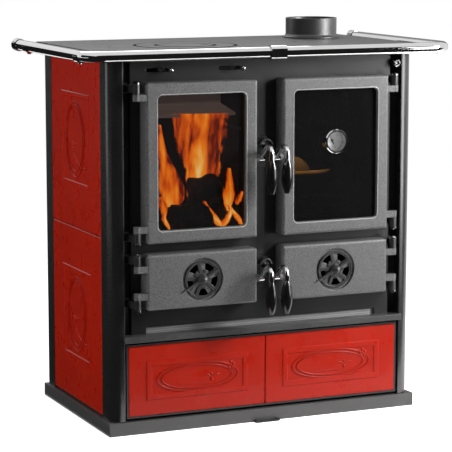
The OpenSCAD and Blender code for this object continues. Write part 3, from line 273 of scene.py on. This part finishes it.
M = {
    "front": cast_iron("cast_front", 0.11, 0.46, 0.45, 0.003),
    "frame": cast_iron("cast_frame", 0.014, 0.34, 0.12, 0.003),
    "ledge": cast_iron("cast_ledge", 0.05, 0.4, 0.12, 0.003),
    "keeper": cast_iron("cast_keeper", 0.03, 0.3, 0.1),
    "bracket": lacquer("bracket_iron", 0.02, 0.3),
    "register": cast_iron("register_iron", 0.045, 0.3, 0.12, 0.0015),
    "post": lacquer("post_enamel", 0.012, 0.24),
    "rear_post": lacquer("rear_post_enamel", 0.012, 0.32),
    "sheet": enamel("dark_sheet", 0.008, 0.45, 0.0),
    "plinth": enamel("plinth_enamel", 0.07, 0.42, 0.1),
    "hob": enamel("hob_enamel", 0.022, 0.42, 0.0, 0.06),
    "plate": hob_iron("hob_plate_iron", 0.03, 0.48),
    "ring": hob_iron("hob_ring_iron", 0.045, 0.4),
    "flue": lacquer("flue_enamel", 0.02, 0.42),
    "tile": glaze("red_glaze", (0.42, 0.011, 0.0012)),
    "chrome": polished("chrome", 0.66),
    "high_handle": handle("high_handle", 0.613),
    "low_handle": handle("low_handle", 0.338),
    "satin": polished("satin_chrome", 0.6, 0.2),
    "mesh": enamel("mesh_wire", 0.42, 0.35, 0.3),
    "soot": cast_iron("sooty_iron", 0.01, 0.75, 0.4, 0),
    # painted firelight on the baffle plate, as emission
    "baffle": firelit("baffle_plate", 0.2, (0.075, 0.05, 0.042)),
    "oven": enamel("oven_enamel", 0.01, 0.25, 0.0),
    "wire": polished("rack_wire", 0.7, 0.18),
    "dial": enamel("dial_face", 0.9, 0.35, 0.0, 0.0),
    # painted highlight: pale iron for the bright line round the door windows
    "edge_highlight": cast_iron("painted_edge_highlight", 0.42, 0.35, 0.1, 0),
    "needle": enamel("needle_black", 0.01, 0.4, 0.0),
    "fire_glass": window("fire_glass", (0.93, 0.93, 0.92)),
    "oven_glass": window("oven_glass_tinted", (0.5, 0.5, 0.52)),
}
WEARS = {
    "front": "firebox_door oven_door ash_door soot_door",
    "frame": "face_frame",
    "ledge": "ledge_bar",
    "keeper": "latch_keepers",
    "bracket": "hinge_brackets",
    "register": "ash_register soot_register",
    "post": "front_posts",
    "rear_post": "rear_posts",
    "sheet": "side_panels back_panel front_sheet drawer_shelf drawer_box drawer_front"
             " firebox_glass_frame oven_glass_frame",
    "plinth": "plinth",
    "hob": "hob_surround hob_left hob_right",
    "plate": "hob_plate",
    "ring": "ring_outer ring_centre",
    "flue": "flue_collar",
    "tile": "side_tiles_left side_tiles_right drawer_tile_left drawer_tile_right",
    "chrome": "rail_front rail_sides rail_collars rail_end_caps rail_sleeve rail_brackets"
              " damper_rod air_slide thermometer_case hinge_pins",
    "high_handle": "firebox_handle oven_handle",
    "low_handle": "ash_handle soot_handle",
    "mesh": "grille_mesh",
    "satin": "drawer_runners",
    "soot": "firebox_shell firebox_bricks fire_grate ash_pan",
    "baffle": "baffle_plates",
    "oven": "oven_box soot_chamber",
    "wire": "oven_rack",
    "dial": "thermometer_dial",
    "needle": "thermometer_needle",
    "fire_glass": "firebox_glass",
    "oven_glass": "oven_glass",
}
for key, names in WEARS.items():
    for name in names.split():
        obj = NODE[name]
        if not obj.material_slots:
            obj.data.materials.append(M[key])
        for s in obj.material_slots:
            s.material = M[key]

# Pieces

BODY_FRONT = 187.5  # the body's front lies this far before the frame's middle, in millimetres


def piece(name, body, mat, bm, smooth=True):
    mesh = bpy.data.meshes.new(name)
    bmesh.ops.recalc_face_normals(bm, faces=bm.faces)
    bm.to_mesh(mesh)
    bm.free()
    for p in mesh.polygons:
        p.use_smooth = smooth
    mesh.materials.append(mat)
    obj = bpy.data.objects.new(name, mesh)
    bpy.context.scene.collection.objects.link(obj)
    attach(obj, body)
    return obj


def bridge(bm, a, b):
    """Faces between two closed rings with as many points."""
    n = len(a)
    for k in range(n):
        bm.faces.new((a[k], a[(k + 1) % n], b[(k + 1) % n], b[k]))


def loft(bm, rings):
    for a, b in zip(rings, rings[1:]):
        bridge(bm, a, b)
    bm.faces.new(rings[0][::-1])
    bm.faces.new(rings[-1])


def log(bm, a, b, r, seed):
    """A charred log from a to b with a split, uneven outline."""
    axis = (b - a).normalized()
    side = axis.cross(Vector((0, 0, 1))).normalized()
    up = side.cross(axis)
    rings, sides, slices = [], 20, 14
    for i in range(slices + 1):
        t = i / slices
        c = a.lerp(b, t)
        end = min(1, 6 * t + 0.75, 6 * (1 - t) + 0.75)
        ring = []
        for k in range(sides):
            ang = 2 * math.pi * k / sides
            out = side * math.cos(ang) + up * math.sin(ang)
            rr = r * end * (1 + 0.16 * math.cos(3 * ang + seed))
            p = c + out * rr
            rr *= 1 + 0.25 * noise.noise(p * 22 + Vector((seed, 0, 0))) + 0.12 * noise.noise(p * 70)
            ring.append(bm.verts.new(c + out * rr))
        rings.append(ring)
    loft(bm, rings)


def char_material():
    m = Mat("charred_wood", Roughness=0.85)
    embers = [(0.66, (0, 0, 0)), (0.72, (1.0, 0.12, 0.01)), (0.82, (1.0, 0.5, 0.1))]
    m.tint(m.noise(90, 5, 0.7), grey(0.004), grey(0.012), 0.3, 0.8)
    m.to(m.ramp(m.noise(60, 4, 0.65), embers), "Emission Color")
    m.bsdf.inputs["Emission Strength"].default_value = 0.35
    return m.bump((m.noise(120, 4, 0.7), 0.8, 0.003)).mat


def flame_material():
    """Heat comes from the UV map: U runs across a tongue, V up along it."""
    m = Mat("flame")
    uv = m.node("UVMap", uv_map="flame")
    split = m.node("SeparateXYZ")
    m.link(uv.outputs["UV"], split.inputs["Vector"])
    across, along = split.outputs["X"], split.outputs["Y"]

    def swing(pattern, amount):
        """The pattern about its middle, times an amount."""
        return m.calc("MULTIPLY", m.calc("SUBTRACT", pattern, 0.5), amount)

    wave = m.noise(17, 3, 0.5, (1, 1, 0.42), 1.4)
    veins = m.noise(46, 2, 0.5, (1, 1, 0.22), 1.6)
    ragged = m.noise(34, 4, 0.6, (1, 1, 0.5), 1.2)
    off_middle = m.calc("ABSOLUTE", m.calc("SUBTRACT", across, 0.5))
    side = m.calc("SUBTRACT", 1.0, m.calc("MULTIPLY", off_middle, 2.0))
    rim = m.calc("ADD", side, swing(ragged, 1.1))
    low = m.calc("MULTIPLY", m.calc("SUBTRACT", 1.0, along), 0.2)
    heat = m.calc("ADD", m.calc("MULTIPLY", side, 0.5), low)
    heat = m.calc("ADD", heat, swing(wave, 1.5))
    heat = m.calc("ADD", heat, swing(veins, 1.0))
    colours = [(0.0, (0.12, 0.008, 0.001)), (0.16, (0.5, 0.05, 0.002)), (0.36, (0.86, 0.14, 0.003)),
               (0.6, (1.0, 0.27, 0.012)), (0.82, (1.0, 0.5, 0.1)), (0.98, (1.0, 0.72, 0.33))]
    glow = m.node("Emission", Strength=1.05)
    m.link(m.ramp(heat, colours), glow.inputs["Color"])
    clear = m.node("BsdfTransparent")
    flame = m.mix(m.spread(rim, 0.06, 0.2), clear.outputs["BSDF"], glow.outputs["Emission"])
    m.link(flame, m.out.inputs["Surface"])
    return m.mat


def tongue(bm, layer, y, rows, seed):
    """A curved sheet of flame. rows holds (left, right, z) in millimetres from the top down, y the depth
    behind the body's front, or the depths of the left and right sides."""
    columns, steps, grid = 10, 8 * (len(rows) - 1), []
    y = y if isinstance(y, tuple) else (y, y)
    for i in range(steps + 1):
        t = i / steps
        k = min(int(t * (len(rows) - 1)), len(rows) - 2)
        f = t * (len(rows) - 1) - k
        x0, x1, z = (rows[k][j] * (1 - f) + rows[k + 1][j] * f for j in range(3))
        line = []
        for j in range(columns + 1):
            s = j / columns
            flutter = 5 * noise.noise(Vector((t * 4, s * 2, seed)))
            depth = y[0] * (1 - s) + y[1] * s - 8 * math.sin(math.pi * s) + flutter
            v = bm.verts.new(((x0 * (1 - s) + x1 * s) / 1000, (depth - BODY_FRONT) / 1000, z / 1000))
            line.append((v, (s, 1 - t)))
        grid.append(line)
    for a, b in zip(grid, grid[1:]):
        for j in range(columns):
            quad = (a[j], a[j + 1], b[j + 1], b[j])
            face = bm.faces.new([q[0] for q in quad])
            for loop, q in zip(face.loops, quad):
                loop[layer].uv = q[1]


def fire():
    """Five charred logs and the flames over them. Each log is its two ends and its radius in millimetres,
    each tongue its depth and its rows."""
    ash = bmesh.new()
    logs = [((-168, 54, 533), (-98, 46, 543), 31), ((-212, 62, 470), (-120, 42, 486), 33),
            ((-262, 120, 466), (-80, 110, 470), 30), ((-112, 48, 506), (-66, 70, 452), 17),
            ((-240, 50, 462), (-200, 90, 500), 15)]
    for i, (a, b, r) in enumerate(logs):
        ends = [Vector((p[0] / 1000, (p[1] - BODY_FRONT) / 1000, p[2] / 1000)) for p in (a, b)]
        log(ash, *ends, r / 1000, i * 2.3)
    piece("burning_logs", "stove", char_material(), ash)
    tongues = [
        ((100, 62), [(-203, -58, 711), (-196, -56, 686), (-191, -66, 663), (-186, -76, 640), (-180, -82, 617),
                     (-169, -85, 594), (-162, -87, 575), (-157, -100, 548), (-155, -106, 517)]),
        (75, [(-236, -228, 690), (-239, -219, 649), (-240, -212, 626), (-241, -197, 596), (-241, -184, 576),
              (-241, -172, 557), (-241, -167, 541), (-237, -169, 520), (-224, -184, 499)]),
        (50, [(-246, -236, 528), (-246, -226, 512), (-244, -222, 501), (-238, -226, 486)]),
        (42, [(-79, -73, 588), (-86, -65, 565), (-91, -60, 546), (-93, -58, 527), (-90, -66, 508),
              (-83, -73, 490)]),
        (34, [(-50, -46, 534), (-60, -45, 525), (-67, -47, 512), (-65, -56, 505)]),
        (30, [(-148, -140, 518), (-142, -126, 501), (-136, -116, 489), (-128, -106, 477), (-112, -94, 459)]),
        (28, [(-80, -74, 500), (-86, -74, 486), (-95, -77, 475), (-104, -82, 464), (-108, -88, 458)]),
        (32, [(-86, -79, 506), (-80, -67, 493), (-72, -55, 481), (-63, -47, 469), (-56, -45, 459)]),
        (34, [(-242, -236, 496), (-245, -231, 480), (-239, -225, 469), (-232, -223, 458)]),
        (30, [(-142, -137, 488), (-146, -137, 475), (-148, -140, 466)]),
    ]
    bm = bmesh.new()
    layer = bm.loops.layers.uv.new("flame")
    for i, (y, rows) in enumerate(tongues):
        tongue(bm, layer, y, rows, i * 3.7 + 1.3)
    flames = piece("flames", "stove", flame_material(), bm)
    flames.visible_shadow = False


def dial_marks():
    """Tick marks round the thermometer's face, every fifth one long."""
    lo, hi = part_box("thermometer_dial")
    c = (lo + hi) / 2
    r = (hi.x - lo.x) / 2
    bm = bmesh.new()
    for k in range(31):
        a = math.radians(-150 + k * 10)
        long = k % 5 == 0
        outer, inner = r * 0.9, r * (0.7 if long else 0.8)
        half_width = 0.0005 if long else 0.00025
        out = Vector((math.sin(a), 0, math.cos(a)))
        side = Vector((out.z, 0, -out.x)) * half_width
        corners = (out * inner - side, out * outer - side, out * outer + side, out * inner + side)
        face = [Vector((c.x, lo.y - 0.0001, c.z)) + p for p in corners]
        back = [p + Vector((0, 0.0002, 0)) for p in face]
        v = [bm.verts.new(p) for p in face + back]
        for q in ((0, 1, 2, 3), (7, 6, 5, 4), (0, 4, 5, 1), (1, 5, 6, 2), (2, 6, 7, 3), (3, 7, 4, 0)):
            bm.faces.new([v[i] for i in q])
    piece("dial_marks", "baking_door", M["needle"], bm, smooth=False)


def ring_of(bm, cx, cy, z, rx, ry, n=40, power=0.7):
    """One ring of a rounded rectangle, for lofting."""
    out = []
    for k in range(n):
        a = 2 * math.pi * k / n
        c, q = math.cos(a), math.sin(a)
        x = cx + rx * math.copysign(abs(c) ** power, c)
        y = cy + ry * math.copysign(abs(q) ** power, q)
        out.append(bm.verts.new((x, y, z)))
    return out


def painted_oven_light(m, low, high, right, colour, front=1.0):
    """Painted oven light: a warm emission standing for the oven lamp's light, rising with height and fading
    towards the right and behind a depth.
    """
    x, y, z = m.axes()
    lit = m.calc("MULTIPLY", m.spread(z, low, high), m.spread(x, right - 0.05, right, 1, 0.04))
    lit = m.calc("MULTIPLY", lit, m.spread(m.noise(40, 4), 0.3, 0.7, 0.75, 1.1))
    lit = m.calc("MULTIPLY", lit, m.spread(y, front, front + 0.01, 1, 0.15))
    return m.ramp(lit, [(0.0, (0, 0, 0)), (1.0, colour)])


def supper():
    """A roasting tin with a loaf in it, with the warm light of the oven on them painted in as emission."""
    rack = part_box("oven_rack")[1].z
    cx, cy = 0.124, -0.045
    tin = bmesh.new()
    rows = [(0.0, 0.060, 0.088), (0.004, 0.068, 0.096), (0.014, 0.073, 0.101), (0.052, 0.079, 0.107),
            (0.055, 0.083, 0.111), (0.0575, 0.084, 0.112), (0.059, 0.081, 0.109), (0.0565, 0.0775, 0.1055),
            (0.052, 0.0765, 0.1045), (0.016, 0.070, 0.098), (0.0035, 0.062, 0.090)]
    loft(tin, [ring_of(tin, cx, cy, rack + z, rx, ry) for z, rx, ry in rows])
    m = Mat("roasting_tin", Metallic=0.6, Emission_Strength=1.0)
    m.tint(m.noise(60, 4), grey(0.03), grey(0.07))
    m.gloss(m.noise(90, 3), 0.3, 0.42)
    # painted light: the oven lamp's light along the tin's rim, as emission
    painted_rim_light = painted_oven_light(m, rack + 0.05, rack + 0.058, 0.19, (0.95, 0.42, 0.07), cy - 0.095)
    m.to(painted_rim_light, "Emission Color")
    piece("roasting_tin", "stove", m.mat, tin)

    loaf = bmesh.new()
    rings, slices = [], 12
    for i in range(slices + 1):
        a = 1.5 * i / slices
        w = math.cos(a) ** 0.55
        height = rack + 0.006 + 0.076 * math.sin(a)
        ring = ring_of(loaf, cx - 0.016, cy - 0.01, height, 0.058 * w, 0.085 * w, 36, 0.85)
        for v in ring:
            lift, push = noise.noise(v.co * 40), noise.noise(v.co * 55)
            v.co += Vector((0, 0, 0.004)) * lift + Vector((0.003, 0.003, 0)) * push
        rings.append(ring)
    loft(loaf, rings)
    m = Mat("bread_crust", Roughness=0.6, Emission_Strength=1.0)
    m.tint(m.noise(35, 5, 0.65), (0.2, 0.07, 0.02), (0.42, 0.19, 0.06))
    # painted light: the oven lamp's warm light on the loaf, as emission
    m.to(painted_oven_light(m, rack + 0.045, rack + 0.095, 0.185, (0.75, 0.36, 0.085)), "Emission Color")
    m.bump((m.noise(90, 4, 0.7), 0.5, 0.002))
    piece("loaf", "stove", m.mat, loaf)


def window_edge(name, door, body, side):
    """The bright edge round a door's window: a thin half-sunk bead on its front that rounds the edge, in pale
    iron as a painted highlight for the light the edge catches.
    side is -1 for the left door and 1 for the right one."""
    half_w, half_h, corner, r = 0.1083, 0.1525, 0.0125, 0.0011
    door_middle, window_height, sunk = 0.16625, 0.179, 0.0003
    points, sides = 32, 8
    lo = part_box(door)[0]
    mid = Vector((side * door_middle, lo.y + sunk, lo.z + window_height))
    path = []
    for k in range(points):
        a = math.radians(k * 360 / points + 180 / points)
        x = math.copysign(half_w - corner, math.cos(a)) + corner * math.cos(a)
        z = math.copysign(half_h - corner, math.sin(a)) + corner * math.sin(a)
        path.append(mid + Vector((x, 0, z)))
    bm = bmesh.new()
    back = Vector((0, 1, 0))
    turns = [math.radians(k * 360 / sides) for k in range(sides)]
    rings = []
    for k, p in enumerate(path):
        run = (path[(k + 1) % points] - path[k - 1]).normalized()
        out = run.cross(back)
        rings.append([bm.verts.new(p + out * math.cos(b) * r + back * math.sin(b) * r) for b in turns])
    for k in range(points):
        bridge(bm, rings[k], rings[(k + 1) % points])
    # the bead's pale iron is a painted highlight
    piece(name, body, M["edge_highlight"], bm)


fire()
supper()
window_edge("fire_window_edge", "firebox_door", "fire_door", -1)
window_edge("oven_window_edge", "oven_door", "baking_door", 1)
dial_marks()

# Studio


def stage_material(name, tone, glow):
    """Pale ground that stays white to the camera and still takes the object's shadow."""
    m = Mat(name, Roughness=0.9)
    m.bsdf.inputs["Base Color"].default_value = grey(tone)
    m.bsdf.inputs["Specular IOR Level"].default_value = 0.0
    rays = m.node("LightPath")
    seen = m.calc("MAXIMUM", rays.outputs["Is Camera Ray"], rays.outputs["Is Glossy Ray"])
    light = m.node("Emission", Strength=glow)
    both = m.node("AddShader")
    m.link(m.bsdf.outputs["BSDF"], both.inputs[0])
    m.link(light.outputs["Emission"], both.inputs[1])
    m.link(m.mix(seen, m.bsdf.outputs["BSDF"], both.outputs["Shader"]), m.out.inputs["Surface"])
    return m.mat


bm = bmesh.new()
bmesh.ops.create_grid(bm, x_segments=2, y_segments=2, size=30)
mesh = bpy.data.meshes.new("floor")
bm.to_mesh(mesh)
bm.free()
floor = bpy.data.objects.new("floor", mesh)
floor.data.materials.append(stage_material("pale_floor", 0.9, 0.91))
bpy.context.scene.collection.objects.link(floor)


def card(name, corners, start, end):
    """A studio card that only reflections see, so that polished parts get their dark and light bands.
    Its tone runs from start at its first and last corners to end at the two others."""
    mesh = bpy.data.meshes.new(name)
    mesh.from_pydata(corners, [], [(0, 1, 2, 3)])
    layer = mesh.color_attributes.new("tone", "FLOAT_COLOR", "POINT")
    for item, tone in zip(layer.data, (start, end, end, start)):
        item.color = grey(tone)
    obj = bpy.data.objects.new(name, mesh)
    m = Mat(name, Roughness=1.0, Specular_IOR_Level=0.0, Emission_Strength=1.0)
    m.bsdf.inputs["Base Color"].default_value = grey(0.0)
    m.to(m.node("Attribute", attribute_name="tone").outputs["Color"], "Emission Color")
    mesh.materials.append(m.mat)
    obj.visible_camera = False
    obj.visible_diffuse = False
    obj.visible_shadow = False
    obj.visible_transmission = False
    bpy.context.scene.collection.objects.link(obj)


def wall(name, a, b, top, start, end):
    card(name, [(*a, 0.0), (*b, 0.0), (*b, top), (*a, top)], start, end)


def ground(name, x0, y0, x1, y1, tone):
    z = 0.004
    card(name, [(x0, y0, z), (x0, y1, z), (x1, y1, z), (x1, y0, z)], tone, tone)


DARK = 0.012
wall("front_card", (-4.0, -3.4), (4.5, -3.4), 3.2, DARK, DARK)
wall("left_card", (-4.0, 2.0), (-4.0, -3.4), 2.4, DARK, DARK)
wall("side_wall", (-4.0, 6.0), (-0.2, 6.0), 1.6, DARK, DARK)
wall("back_card", (0.3, 3.6), (4.5, 3.6), 3.2, 0.42, 0.06)
ground("floor_card", -4.0, -3.45, 4.5, -0.5, DARK)
ground("side_card", -3.2, -0.5, -0.38, 6.0, DARK)


def lamp(name, place, aim, size, power):
    data = bpy.data.lights.new(name, "AREA")
    data.shape = "RECTANGLE"
    data.size, data.size_y = size
    data.energy = power
    obj = bpy.data.objects.new(name, data)
    obj.location = place
    obj.rotation_euler = (Vector(aim) - Vector(place)).to_track_quat("-Z", "Y").to_euler()
    obj.visible_camera = False
    bpy.context.scene.collection.objects.link(obj)
    return obj


lamp("key", (1.35, -1.05, 1.2), (0.0, -0.2, 0.45), (0.35, 0.5), 47)
lamp("right_panel", (1.9, -2.1, 0.8), (0.35, -0.2, 0.5), (0.9, 1.5), 32).visible_diffuse = False
lamp("left_fill", (-2.6, -0.6, 0.8), (-0.4, 0.0, 0.45), (1.2, 1.2), 22).visible_glossy = False
lamp("top_back", (0.2, 1.6, 2.4), (0.0, 0.1, 0.9), (2.0, 0.8), 24)

# The world is white where the camera, a reflection or a clear pane sees it, and a weak light elsewhere
world = bpy.data.worlds.new("studio")
bpy.context.scene.world = world
world.use_nodes = True
sky = world.node_tree
sky.nodes.clear()


def sky_node(kind, **values):
    n = sky.nodes.new("ShaderNode" + kind)
    for key, value in values.items():
        if hasattr(n, key):
            setattr(n, key, value)
        else:
            n.inputs[key].default_value = value
    return n


rays = sky_node("LightPath")
soft = sky_node("Background", Color=(1, 1, 1, 1), Strength=0.1)
white = sky_node("Background", Color=(1, 1, 1, 1), Strength=1.0)
seen = sky_node("Math", operation="MAXIMUM")
sky.links.new(rays.outputs["Is Camera Ray"], seen.inputs[0])
sky.links.new(rays.outputs["Is Glossy Ray"], seen.inputs[1])
through = sky_node("Math", operation="MAXIMUM")
sky.links.new(seen.outputs["Value"], through.inputs[0])
sky.links.new(rays.outputs["Is Transmission Ray"], through.inputs[1])
last = sky_node("MixShader")
sky.links.new(through.outputs["Value"], last.inputs["Fac"])
sky.links.new(soft.outputs["Background"], last.inputs[1])
sky.links.new(white.outputs["Background"], last.inputs[2])
out = sky_node("OutputWorld")
sky.links.new(last.outputs["Shader"], out.inputs["Surface"])

SENSOR_MM = 36
PHOTO_PX = 452
FOCAL_PX = 2029
PITCH_DOWN = 8.65
TURN_RIGHT = 23.70

cam = bpy.data.cameras.new("camera")
cam.sensor_width = SENSOR_MM
cam.lens = SENSOR_MM * FOCAL_PX / PHOTO_PX
cam.clip_end = 60
eye = bpy.data.objects.new("camera", cam)
bpy.context.scene.collection.objects.link(eye)
eye.location = (-1.9219, -4.3349, 1.1507)
eye.rotation_euler = (math.radians(90 - PITCH_DOWN), 0, math.radians(-TURN_RIGHT))
bpy.context.scene.camera = eye
bpy.context.scene.view_settings.view_transform = "Standard"
